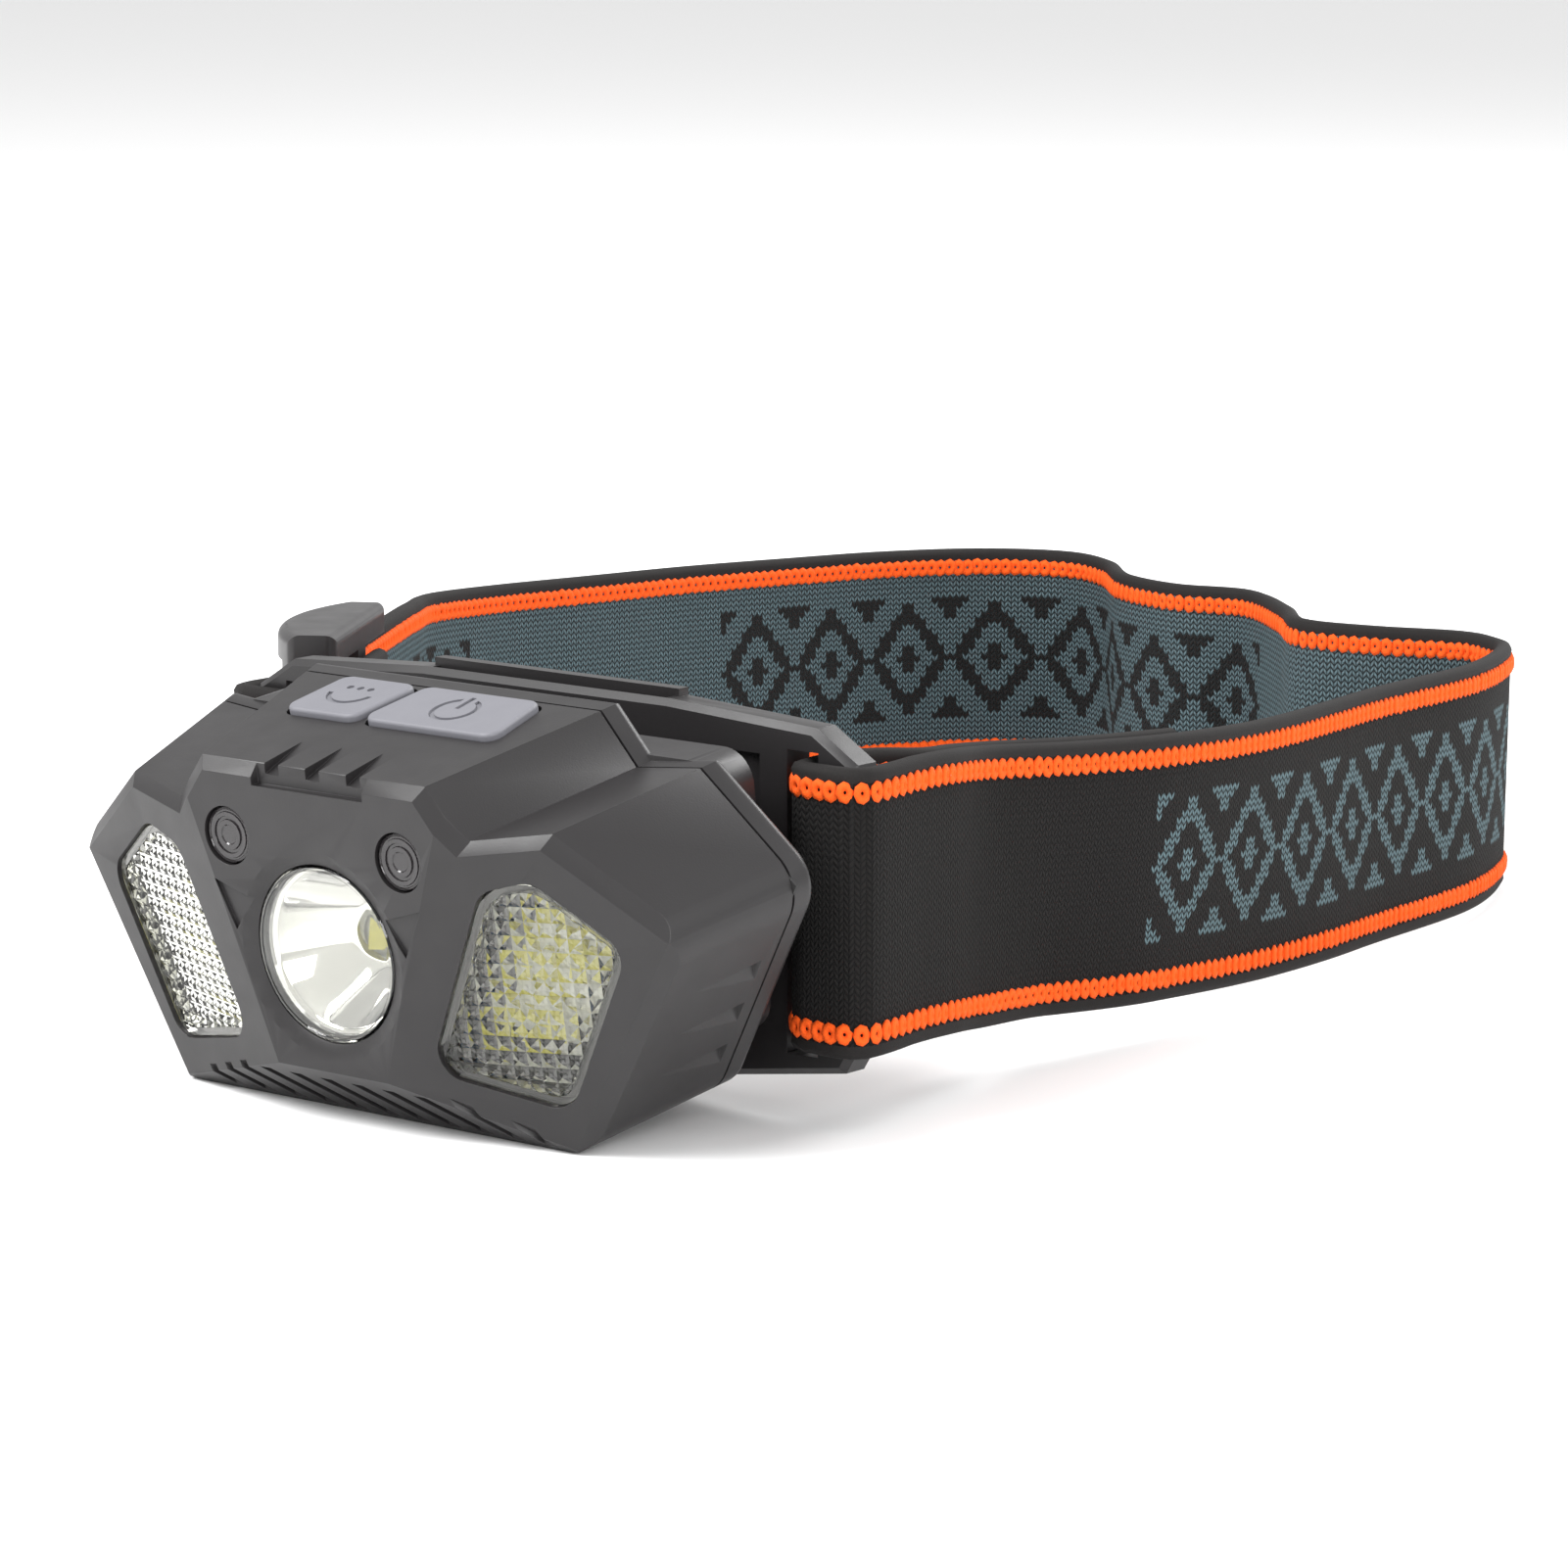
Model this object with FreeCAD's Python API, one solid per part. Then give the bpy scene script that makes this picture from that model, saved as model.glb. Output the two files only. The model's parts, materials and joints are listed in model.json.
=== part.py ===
"""Rechargeable headlamp: a tilting lamp housing on a bracket plate, worn on a 25 mm elastic band.

Millimetres, +Z up. The lamp looks along -Y and the band runs back along +Y. The lamp's own pieces are drawn
in the lamp frame, where the front panel is the plane y = 0, and are then seated on the tilt hinge.
"""

import FreeCAD, Part
import math
import os

from FreeCAD import Placement, Rotation, Vector

X_AXIS = Vector(1, 0, 0)
Y_AXIS = Vector(0, 1, 0)
Z_AXIS = Vector(0, 0, 1)

# Lamp housing: right half of the outline at the front panel, as (x, z), from the crown down
half_outline = [(12.6, 32.4), (16.2, 27.9), (23.2, 28.6), (33.3, 19.7), (22.2, 0.0)]
flare = 0.238               # widening of each half per millimetre of depth
rise = 0.1495               # lift of the outline per millimetre of depth
seam_y = 18.5               # joint between front shell and rear cover
rear_y = 21.0               # rear rim of the housing
side_wall = 1.7
front_wall = 2.4
wing_sweep = 0.2718         # wing depth gained per millimetre of x
wing_lean = 0.095           # wing depth lost per millimetre of z
wing_start = -1.13
bevel_top = 6.19            # height where the lower bevel leaves the panel
edge_chamfer = 1.0

# Optics
spot_z = 16.5
spot_r = 7.8
spot_rim_r = 9.2
reflector_depth = 5.4
lens_outline = [(17.5, 23.8), (22.2, 25.0), (29.7, 19.3), (22.7, 4.8), (10.6, 7.6)]
lens_thick = 1.2
lens_corner = 2.5
sensor_x = 9.9
sensor_z = 25.9
sensor_r = 2.55

# Buttons, on the crown's top face: s runs back along the face
pad_front_s = 10.4
pad_back_s = 18.0
pad_front_half = 12.2
pad_back_half = 11.3
pad_proud = 0.6
pad_gap = 0.8               # slanted groove between the two pads
pad_clearance = 0.2
button_travel = 0.7
switch_x = {"power": 4.7, "sensor": -7.6}
switch_s = 14.2

# Battery box on the rear cover, tilt hinge and lamp seat
box_half = 28.0
box_low = 6.6
box_high = 31.4
box_rear_y = 26.0
hinge_y = 23.8
hinge_z = 3.1
knuckle_r = 2.3
knuckle_half = 8.7
pin_r = 1.0
pin_play = 0.05
rest_tilt = 6.5             # the front panel faces down by this much
seat_y = -0.15
seat_z = -1.47

# Bracket plate and forehead pad
plate_front_y = 26.1
plate_thick = 3.0
plate_half = 35.0
plate_low = 2.0
slot_inner = 27.6
slot_outer = 31.0
slot_low = 5.7
slot_high = 31.9
pad_thick = 3.5

# Elastic band: centre line of its lower edge, from the right bar round to the left bar
band_width = 25.0
band_thick = 1.5
band_play = 0.35
band_level = 6.3
band_route = [
    (35.6, 33.0, 6.3), (34.8, 39.0, 6.0), (33.4, 46.7, 5.2), (35.0, 57.6, 4.3), (36.2, 70.7, 3.5),
    (34.3, 88.0, 2.5), (28.9, 113.0, 1.6), (25.1, 135.9, 0.8), (19.8, 150.5, 0.5), (15.6, 154.6, 0.5),
    (10.5, 156.2, 0.4), (2.1, 153.6, 0.4), (-6.5, 153.2, 0.4), (-13.8, 160.6, 0.3), (-23.9, 168.4, 0.2),
    (-33.2, 167.8, 0.1), (-42.7, 171.5, 0.0), (-50.5, 178.6, 0.1), (-57.5, 180.2, 0.3),
    (-65.2, 174.1, 0.6), (-70.3, 162.6, 1.0), (-72.9, 148.2, 1.5), (-74.4, 133.4, 2.1),
    (-74.5, 116.8, 2.8), (-73.6, 101.6, 3.6), (-69.5, 86.9, 4.7), (-62.9, 77.0, 5.6), (-56.2, 67.0, 6.2),
]
left_start = (-36.0, 33.4, 6.3)
band_steps = 84
tail_length = 38.0

# Strap slider, on the straight stretch beside the left bar
slider_from_bar = 12.3
slider_half = 11.0
slider_rail = 2.7

# USB port and its flap, in the underside
port_y = 11.5
port_size = (9.0, 3.2, 5.4)
flap_size = (14.0, 6.4, 1.1)
hinge_room = 0.9            # room beside the flap's hinged end


def clockwise_outline():
    """the housing's full outline, clockwise seen from the front"""
    left = [(-x, z) for x, z in reversed(half_outline)]
    return list(half_outline) + left


def offset_polygon(points, inset):
    """a clockwise (x, z) polygon moved inwards by inset"""
    moved = []
    count = len(points)
    for i, (x, z) in enumerate(points):
        normals = []
        for a, b in ((points[i - 1], points[i]), (points[i], points[(i + 1) % count])):
            length = math.hypot(b[0] - a[0], b[1] - a[1])
            normals.append(((b[1] - a[1]) / length, (a[0] - b[0]) / length))
        (ax, az), (bx, bz) = normals
        share = inset / (1 + ax * bx + az * bz)
        moved.append((x + share * (ax + bx), z + share * (az + bz)))
    return moved


def solid_from(faces):
    """a closed solid from planar faces"""
    shell = Part.makeShell(faces)
    shell.sewShape()
    return Part.makeSolid(Part.makeSolid(shell).Shells[0])


def facet(points):
    return Part.Face(Part.makePolygon(list(points) + [points[0]]))


def section(outline, y):
    """the housing outline at depth y"""
    return [Vector(x + math.copysign(flare, x) * y, y, z + rise * y) for x, z in outline]


def housing_block(inset, y0, y1):
    """the flared housing volume between two depths"""
    outline = offset_polygon(clockwise_outline(), inset)
    near, far = section(outline, y0), section(outline, y1)
    count = len(outline)
    sides = [facet([near[i], near[(i + 1) % count], far[(i + 1) % count], far[i]]) for i in range(count)]
    return solid_from([facet(near), facet(far)] + sides)


def beyond(point, normal):
    """a large block on the side of a plane that the normal points to"""
    block = Part.makeBox(300, 300, 100, Vector(-150, -150, 0))
    block.Placement = Placement(point, Rotation(Z_AXIS, normal))
    return block


def wing_y(x, z):
    return wing_start + wing_sweep * abs(x) - wing_lean * z


def wing_normal(side):
    return Vector(side * wing_sweep, -1, -wing_lean).normalize()


def front_cutters(depth):
    """blocks that leave the panel, the two wings and the lower bevel, moved in by depth"""
    planes = [(Vector(0, 0, 0), Vector(0, -1, 0)), (Vector(0, bevel_top, 0), Vector(0, -1, -1).normalize())]
    planes += [(Vector(0, wing_start, 0), wing_normal(side)) for side in (-1, 1)]
    return [beyond(point - normal * depth, normal) for point, normal in planes]


def box(x0, x1, y0, y1, z0, z1):
    return Part.makeBox(x1 - x0, y1 - y0, z1 - z0, Vector(x0, y0, z0))


def rod(r, start, direction, length):
    return Part.makeCylinder(r, length, start, direction)


def edges_where(shape, test):
    return [edge for edge in shape.Edges if test(edge)]


def middle(edge):
    return edge.valueAt((edge.FirstParameter + edge.LastParameter) / 2)


def runs_along_corner(edge, corner):
    """true for a lengthwise edge of the housing at the given outline corner"""
    mid = middle(edge)
    span = edge.Vertexes[-1].Point - edge.Vertexes[0].Point
    if span.Length < 2 or abs(span.y) < 0.85 * span.Length:
        return False
    return math.hypot(abs(mid.x) - flare * mid.y - corner[0], mid.z - rise * mid.y - corner[1]) < 0.5


def front_rim_edges(shape):
    """the edges between the front faces and the housing's sides"""
    normals = [Vector(0, -1, 0), Vector(0, -1, -1).normalize(), wing_normal(-1), wing_normal(1)]
    seen = {}
    for face in shape.Faces:
        if any((face.normalAt(0, 0) - n).Length < 1e-4 for n in normals):
            for edge in face.Edges:
                seen.setdefault(edge.hashCode(), []).append(edge)
    return [group[0] for group in seen.values() if len(group) == 1]


def wing_polygon(side, inset, depth):
    """the flood lens outline on the wing plane, moved in by depth, as a wire"""
    normal = wing_normal(side)
    points = []
    for x, z in offset_polygon(lens_outline, inset):
        points.append(Vector(side * x, wing_y(x, z), z) - normal * depth)
    return Part.makePolygon(points + [points[0]])


def wing_plate(side, inset, depth, thick, corner=0.0):
    """a plate of the lens outline, lying along the wing, with rounded corners"""
    plate = Part.Face(wing_polygon(side, inset, depth)).extrude(wing_normal(side) * -thick)
    if corner:
        across = edges_where(plate, lambda e: abs(e.Length - thick) < 1e-4)
        plate = plate.makeFillet(corner, across)
    return plate


def top_frame():
    """the crown's top face: x, then s along the face to the rear, then height above it"""
    return Placement(Vector(0, 0, half_outline[0][1]), Rotation(X_AXIS, math.degrees(math.atan(rise))))


def on_top(shape):
    placed = shape.copy()
    placed.Placement = top_frame()
    return placed


def split_x(s):
    """x of the slanted groove between the pads"""
    along = (s - pad_front_s) / (pad_back_s - pad_front_s)
    return -3.4 + along * 1.2


def pad_solid(kind, grow, low, high, corner=1.3):
    """one half of the button pad, in the top face's frame"""
    s0, s1 = pad_front_s - grow, pad_back_s + grow
    f, b = pad_front_half + grow, pad_back_half + grow
    half_gap = pad_gap / 2 - grow
    if kind == "power":
        quad = [(split_x(s0) + half_gap, s0), (f, s0), (b, s1), (split_x(s1) + half_gap, s1)]
    else:
        quad = [(-f, s0), (split_x(s0) - half_gap, s0), (split_x(s1) - half_gap, s1), (-b, s1)]
    base = facet([Vector(x, s, low) for x, s in quad])
    block = base.extrude(Vector(0, 0, high - low))
    uprights = edges_where(block, lambda e: abs(e.Length - (high - low)) < 1e-4)
    return block.makeFillet(corner, uprights)


def housing_outer():
    """the front shell's outer volume"""
    body = housing_block(0, -4, seam_y)
    for cutter in front_cutters(0):
        body = body.cut(cutter)
    body = body.removeSplitter()
    rim = [edge for edge in front_rim_edges(body) if middle(edge).z > bevel_top]
    body = body.makeChamfer(edge_chamfer, rim)
    for radius, corner in ((4.0, half_outline[3]), (3.5, half_outline[4])):
        body = body.makeFillet(radius, edges_where(body, lambda e: runs_along_corner(e, corner)))
    return body


def screw_places():
    """x and z of the four cover screws"""
    return [(side * x, z) for side in (-1, 1) for x, z in ((30.0, 20.9), (21.5, 6.4))]


def screw_bosses(outer):
    """the screw posts inside the front shell, each joined to the wall by a web"""
    posts = []
    for x, z in screw_places():
        side = math.copysign(1, x)
        posts.append(rod(2.1, Vector(x, 12.5, z), Y_AXIS, seam_y - 12.5))
        if z > 10:
            posts.append(box(min(x, x + side * 8), max(x, x + side * 8), 12.5, seam_y, z - 0.7, z + 0.7))
        else:
            posts.append(box(x - 0.7, x + 0.7, 12.5, seam_y, z - 6, z))
    return posts[0].fuse(posts[1:]).common(outer)


def gill(side, share):
    """a wedge-shaped groove in the lower flank, deepest at its rear end"""
    top, low = half_outline[3], half_outline[4]

    def flank(t, y, out):
        x = top[0] + t * (low[0] - top[0]) + flare * y + out
        return Vector(side * x, y, top[1] + t * (low[1] - top[1]) + rise * y)

    base = [flank(share - 0.06, 17.3, 0.3), flank(share + 0.06, 17.3, 0.3), flank(share - 0.04, 17.3, -0.9)]
    tip = flank(share - 0.05, 8.5, 0.3)
    sides = [facet([base[i], base[(i + 1) % 3], tip]) for i in range(3)]
    return solid_from([facet(base)] + sides)


def crown_grooves():
    """three wedge grooves behind the crown's front edge"""
    grooves = []
    for x in (-4.7, 0.0, 4.7):
        wedge = facet([Vector(x - 0.8, -1, -1.3), Vector(x - 0.8, 6.2, 0.1), Vector(x - 0.8, -1, 0.6)])
        grooves.append(on_top(wedge.extrude(Vector(1.6, 0, 0))))
    return grooves


def bevel_slashes():
    """slanted grooves across the lower bevel"""
    slashes = []
    for i in range(-5, 6):
        slash = Part.makeBox(1.1, 12, 1.2, Vector(-0.55, -6, -0.45))
        slash.rotate(Vector(0, 0, 0), Z_AXIS, 38)
        place = Placement(Vector(3.6 * i, bevel_top / 2, bevel_top / 2), Rotation(Z_AXIS, Vector(0, -1, -1)))
        slash.Placement = place.multiply(slash.Placement)
        slashes.append(slash.common(box(-21, 21, 1.2, 4.9, 0.6, 5.2)))
    return slashes


def sensor_side(side, r, y0, y1):
    return rod(r, Vector(side * sensor_x, y0, sensor_z), Y_AXIS, y1 - y0)


def front_shell():
    outer = housing_outer()
    cavity = housing_block(side_wall, -4, seam_y + 1)
    for cutter in front_cutters(front_wall):
        cavity = cavity.cut(cutter)
    shell = outer.cut(cavity).fuse(screw_bosses(outer)).removeSplitter()
    tools = [rod(0.8, Vector(x, 13.5, z), Y_AXIS, 6) for x, z in screw_places()]
    spot = Vector(0, 0, spot_z)
    tools.append(Part.makeCone(spot_rim_r, spot_r, 0.6, spot, Y_AXIS))
    tools.append(rod(spot_r + 0.05, spot, Y_AXIS, 0.6 + lens_thick))
    tools.append(rod(spot_r - 0.6, spot, Y_AXIS, front_wall + 1))
    for side in (-1, 1):
        tools.append(wing_plate(side, -0.1, -1, 1 + 0.5 + lens_thick, lens_corner + 0.1))
        tools.append(wing_plate(side, 0.9, -1, 5, lens_corner - 0.9))
        tools.append(sensor_side(side, sensor_r + 0.05, -1, 0.8 + 1.0))
        tools.append(sensor_side(side, sensor_r - 0.5, -1, front_wall + 1))
        recess = [(side * 7.6, 20.6), (side * 11.9, 21.9), (side * 9.8, 17.6)]
        tools.append(facet([Vector(x, -1, z) for x, z in recess]).extrude(Vector(0, 1.35, 0)))
        tools += [gill(side, share) for share in (0.38, 0.58, 0.78)]
    for kind in ("power", "sensor"):
        tools.append(on_top(pad_solid(kind, pad_clearance, -4, 2)))
    tools += crown_grooves() + bevel_slashes()
    tools.append(box(-6.4, 6.4, -1, 0.9, half_outline[0][1] - edge_chamfer - 0.7, 40))
    tools.append(port_opening())
    tools.append(flap_recess())
    return shell.cut(tools)


def under_frame():
    """the underside: x, then depth along the face, then height above it, at the port's place"""
    return Placement(Vector(0, port_y, rise * port_y), Rotation(X_AXIS, math.degrees(math.atan(rise))))


def on_underside(shape):
    placed = shape.copy()
    placed.Placement = under_frame()
    return placed


def port_opening():
    w, d, h = port_size
    return on_underside(box(-w / 2 - 0.1, w / 2 + 0.1, -d / 2 - 0.1, d / 2 + 0.1, -1, h + 1))


def flap_recess():
    w, d, h = flap_size
    return on_underside(box(-w / 2 - hinge_room, w / 2 + 0.15, -d / 2 - 0.15, d / 2 + 0.15, -1, h))


def port_flap():
    """the rubber flap over the port, with its plug and a finger tab"""
    w, d, h = flap_size
    plate = box(-w / 2, w / 2, -d / 2, d / 2, 0.05, h - 0.1)
    plate = plate.makeFillet(0.35, edges_where(plate, lambda e: abs(e.Length - d) < 1e-4 and e.BoundBox.ZMax < 0.2))
    plug = box(-2.6, 2.6, -0.9, 0.9, h - 0.2, h + 1.5)
    return on_underside(plate.fuse(plug).removeSplitter())


def charge_port():
    """the charging socket behind the opening"""
    w, d, h = port_size
    socket = box(-w / 2, w / 2, -d / 2, d / 2, flap_size[2] + 0.3, h)
    socket = socket.makeFillet(1.2, edges_where(socket, lambda e: abs(e.Length - (h - flap_size[2] - 0.3)) < 1e-4))
    hollow = box(-w / 2 + 0.5, w / 2 - 0.5, -d / 2 + 0.4, d / 2 - 0.4, 0, h - 0.8)
    tongue = box(-3.2, 3.2, -1.15, -1.0, h - 3.0, h - 0.7)
    return on_underside(socket.cut(hollow).fuse(tongue.common(hollow)).removeSplitter())


def rear_cover():
    """rear rim and wall, battery box, screw seats and the hinge knuckle"""
    start = seam_y + 0.2
    rim = housing_block(0, start, rear_y)
    for radius, corner in ((4.0, half_outline[3]), (3.5, half_outline[4])):
        rim = rim.makeFillet(radius, edges_where(rim, lambda e: runs_along_corner(e, corner)))
    back_edges = edges_where(rim, lambda e: e.BoundBox.YMin > rear_y - 0.01)
    rim = rim.makeFillet(0.8, back_edges)
    hump = box(-box_half, box_half, rear_y - 1, box_rear_y, box_low, box_high)
    hump = hump.makeFillet(3.0, edges_where(hump, lambda e: abs(e.Length - (box_rear_y - rear_y + 1)) < 1e-4))
    hump = hump.makeChamfer(1.2, edges_where(hump, lambda e: e.BoundBox.YMin > box_rear_y - 0.01))
    knuckle = rod(knuckle_r, Vector(-knuckle_half, hinge_y, hinge_z), X_AXIS, 2 * knuckle_half)
    web = box(-knuckle_half, knuckle_half, rear_y - 0.8, hinge_y, hinge_z - 0.2, hinge_z + knuckle_r - 0.2)
    cover = rim.fuse([hump, knuckle, web]).removeSplitter()
    tools = [housing_block(side_wall, start - 1, rear_y - 1.6).cut(screw_seats(start))]
    tools.append(box(1.7 - box_half, box_half - 1.7, rear_y - 2, box_rear_y - 1.5, box_low + 1.6, box_high - 1.6))
    tools.append(rod(pin_r + pin_play, Vector(-20, hinge_y, hinge_z), X_AXIS, 40))
    for x, z in screw_places():
        tools.append(rod(1.0, Vector(x, start - 1, z), Y_AXIS, 5))
        tools.append(rod(1.9, Vector(x, rear_y - 1.1, z), Y_AXIS, 5))
    return cover.cut(tools)


def screw_seats(start):
    """the round posts under the screw heads"""
    posts = [rod(2.7, Vector(x, start, z), Y_AXIS, rear_y - start) for x, z in screw_places()]
    return posts[0].fuse(posts[1:])


def housing_seal():
    """the flat gasket in the seam"""
    ring = housing_block(0.5, seam_y, seam_y + 0.2).cut(housing_block(side_wall, seam_y - 1, seam_y + 1))
    holes = [rod(1.0, Vector(x, seam_y - 1, z), Y_AXIS, 3) for x, z in screw_places()]
    return ring.cut(holes)


def cover_screws():
    """four self-tapping screws, as separate solids in one piece"""
    screws = []
    for x, z in screw_places():
        head = rod(1.7, Vector(x, rear_y - 1.1, z), Y_AXIS, 0.9)
        slot = box(x - 1.1, x + 1.1, rear_y - 0.7, rear_y, z - 0.2, z + 0.2)
        cross = box(x - 0.2, x + 0.2, rear_y - 0.7, rear_y, z - 1.1, z + 1.1)
        shank = rod(0.8, Vector(x, rear_y - 6.5, z), Y_AXIS, 5.6)
        screws.append(head.cut([slot, cross]).fuse(shank).removeSplitter())
    return Part.makeCompound(screws)


def flood_lens(side):
    return wing_plate(side, 0, 0.5, lens_thick, lens_corner)


def flood_board(side):
    """aluminium LED board behind the flood lens"""
    board = wing_plate(side, 1.6, 4.3, 1.0, 0.8)
    return board.common(housing_block(side_wall + 0.1, -4, seam_y))


def flood_leds(side):
    """the surface-mounted LEDs on one flood board"""
    normal = wing_normal(side)
    leds = []
    for x, z in ((15.5, 10.5), (19.5, 10.5), (18.0, 16.0), (22.5, 16.0), (21.0, 20.8), (25.6, 18.6)):
        led = box(-1.4, 1.4, -1.4, 1.4, 0, 0.8)
        base = Vector(side * x, wing_y(x, z), z) - normal * 4.3
        led.Placement = Placement(base, Rotation(Z_AXIS, normal))
        leds.append(led)
    return Part.makeCompound(leds)


def spot_lens():
    disc = rod(spot_r, Vector(0, 0.6, spot_z), Y_AXIS, lens_thick)
    return disc.makeChamfer(0.25, edges_where(disc, lambda e: e.BoundBox.YMax < 0.61 and e.Closed))


def reflector():
    """a parabolic bowl with a rim flange and a collar round the LED"""
    y0 = front_wall
    inner, outer = [], []
    for i in range(13):
        r = 2.4 + (6.6 - 2.4) * i / 12
        depth = reflector_depth * (1 - (r * r - 2.4 ** 2) / (6.6 ** 2 - 2.4 ** 2))
        inner.append(Vector(r, y0 + depth, 0))
        outer.append(Vector(r + 0.7, y0 + depth + 0.1, 0))
    curve_in = Part.BSplineCurve()
    curve_in.interpolate(inner)
    curve_out = Part.BSplineCurve()
    curve_out.interpolate(outer)
    back = Part.makeLine(inner[0], outer[0])
    corners = [inner[-1], Vector(7.9, y0, 0), Vector(7.9, y0 + 0.6, 0), Vector(7.25, y0 + 0.6, 0), outer[-1]]
    rim = [Part.makeLine(a, b) for a, b in zip(corners, corners[1:])]
    profile = Part.Wire(Part.sortEdges([curve_in.toShape(), curve_out.toShape(), back] + rim)[0])
    bowl = Part.Face(profile).revolve(Vector(0, 0, 0), Y_AXIS, 360)
    bowl.translate(Vector(0, 0, spot_z))
    return bowl


def spot_board():
    y = front_wall + reflector_depth + 0.2
    star = rod(6.4, Vector(0, y, spot_z), Y_AXIS, 1.5)
    notches = []
    for i in range(3):
        turn = math.radians(90 + 120 * i)
        notches.append(rod(1.0, Vector(6.4 * math.cos(turn), y - 1, spot_z + 6.4 * math.sin(turn)), Y_AXIS, 4))
    return star.cut(notches)


def spot_led():
    """package, dome ring and phosphor square of the main LED"""
    y = front_wall + reflector_depth + 0.2
    base = box(-1.55, 1.55, y - 0.7, y, spot_z - 1.55, spot_z + 1.55)
    die = box(-0.9, 0.9, y - 1.0, y - 0.7, spot_z - 0.9, spot_z + 0.9)
    return base.fuse(die).removeSplitter()


def sensor_window(side):
    disc = sensor_side(side, sensor_r, 0.8, 1.8)
    ring = sensor_side(side, 1.7, 0, 0.95).cut(sensor_side(side, 1.4, 0, 0.95))
    return disc.cut(ring)


def sensor_diode(side):
    """a domed diode behind a sensor window"""
    body = sensor_side(side, 1.5, 3.4, 6.0)
    dome = Part.makeSphere(1.5, Vector(side * sensor_x, 3.6, sensor_z)).common(sensor_side(side, 1.5, 2.0, 3.6))
    return body.fuse(dome).removeSplitter()


def circuit_board():
    """the main board, parallel to the crown's top face"""
    board = box(-12.3, 12.3, 7.6, 18.4, -6.9, -5.7)
    chips = [box(-1.5, 3.5, 9.0, 12.5, -7.6, -6.9), box(6.5, 9.0, 9.5, 11.5, -7.4, -6.9)]
    return on_top(board.fuse(chips).removeSplitter())


def tact_switch(kind):
    x = switch_x[kind]
    can = box(x - 2.6, x + 2.6, switch_s - 2.2, switch_s + 2.2, -5.7, -4.3)
    stem = rod(1.1, Vector(x, switch_s, -4.3), Z_AXIS, 0.4)
    return on_top(can.fuse(stem).removeSplitter())


def button(kind):
    """a silicone button: domed cap, retaining flange and plunger, with its sign sunk in the top"""
    cap = pad_solid(kind, 0, -2.0, pad_proud)
    cap = cap.makeFillet(0.35, edges_where(cap, lambda e: e.BoundBox.ZMin > pad_proud - 0.01))
    flange = pad_solid(kind, 0, -2.4, -1.95)
    plunger = rod(1.6, Vector(switch_x[kind], switch_s, -3.0), Z_AXIS, 1.0)
    body = cap.fuse([flange, plunger]).removeSplitter()
    return on_top(body.cut(button_sign(kind)))


def button_sign(kind):
    """a power ring with its bar, or two dots over an arc"""
    x = switch_x[kind]
    if kind == "power":
        ring = rod(2.3, Vector(x, switch_s, pad_proud - 0.2), Z_AXIS, 1)
        ring = ring.cut([rod(1.8, Vector(x, switch_s, -1), Z_AXIS, 3), box(x - 0.8, x + 0.8, switch_s, 18, -1, 3)])
        return [ring, box(x - 0.25, x + 0.25, switch_s + 0.2, switch_s + 2.6, pad_proud - 0.2, 2)]
    arc = rod(2.6, Vector(x, switch_s + 0.8, pad_proud - 0.2), Z_AXIS, 1)
    arc = arc.cut([rod(2.1, Vector(x, switch_s + 0.8, -1), Z_AXIS, 3), box(x - 5, x + 5, switch_s + 0.2, 19, -1, 3)])
    dots = [rod(0.35, Vector(x + dx, switch_s + 1.5, pad_proud - 0.2), Z_AXIS, 1) for dx in (-1.2, 0, 1.2)]
    return [arc] + dots


def battery_cell():
    """a flat lithium cell with rounded long edges"""
    cell = box(-25, 25, 14.2, 24.1, 9.4, 27.2)
    return cell.makeFillet(1.6, edges_where(cell, lambda e: abs(e.Length - 50) < 1e-4))


def bracket_plate():
    """the plate behind the lamp, with a strap slot at each end and two hinge ears"""
    right = [(14.2, 34.8), (30.4, 33.9), (34.8, 31.2), (plate_half, 30.6), (plate_half, 6.8), (33.6, 4.6),
             (16, plate_low)]
    outline = right + [(-x, z) for x, z in reversed(right)]
    y0, y1 = plate_front_y, plate_front_y + plate_thick
    plate = facet([Vector(x, y0, z) for x, z in outline]).extrude(Vector(0, plate_thick, 0))
    front_rim = edges_where(plate, lambda e: e.BoundBox.YMax < y0 + 0.01)
    plate = plate.makeChamfer(0.6, front_rim)
    crest = box(-14.2, 14.2, y1 - 1.3, y1, 33, 35.5)
    neck = [box(side_x, side_x + 3.5, 23.15, y0 + 0.5, 2.0, 6.6) for side_x in (-12.5, 9.0)]
    centre = hinge_centre()
    ears = [rod(knuckle_r, Vector(side_x, centre.y, centre.z), X_AXIS, 3.5) for side_x in (-12.5, 9.0)]
    plate = plate.fuse([crest] + neck + ears).removeSplitter()
    tools = [box(-13.6, 13.6, y0 + 0.7, y1 - 1.3, 33.6, 40)]
    tools += [box(-24.6, 24.6, y0 - 1, y0 + 0.7, 9.0, 31.2)]
    for a, b in ((-slot_outer, -slot_inner), (slot_inner, slot_outer)):
        tools.append(box(a, b, y0 - 1, y1 + 1, slot_low, slot_high))
    tools.append(rod(pin_r, Vector(-20, centre.y, centre.z), X_AXIS, 40))
    return plate.cut(tools)


def tilt_pin():
    centre = hinge_centre()
    pin = rod(pin_r, Vector(-12.6, centre.y, centre.z), X_AXIS, 25.2)
    heads = [rod(1.6, Vector(x, centre.y, centre.z), X_AXIS, 0.7) for x in (-13.25, 12.55)]
    return pin.fuse(heads).removeSplitter()


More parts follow.
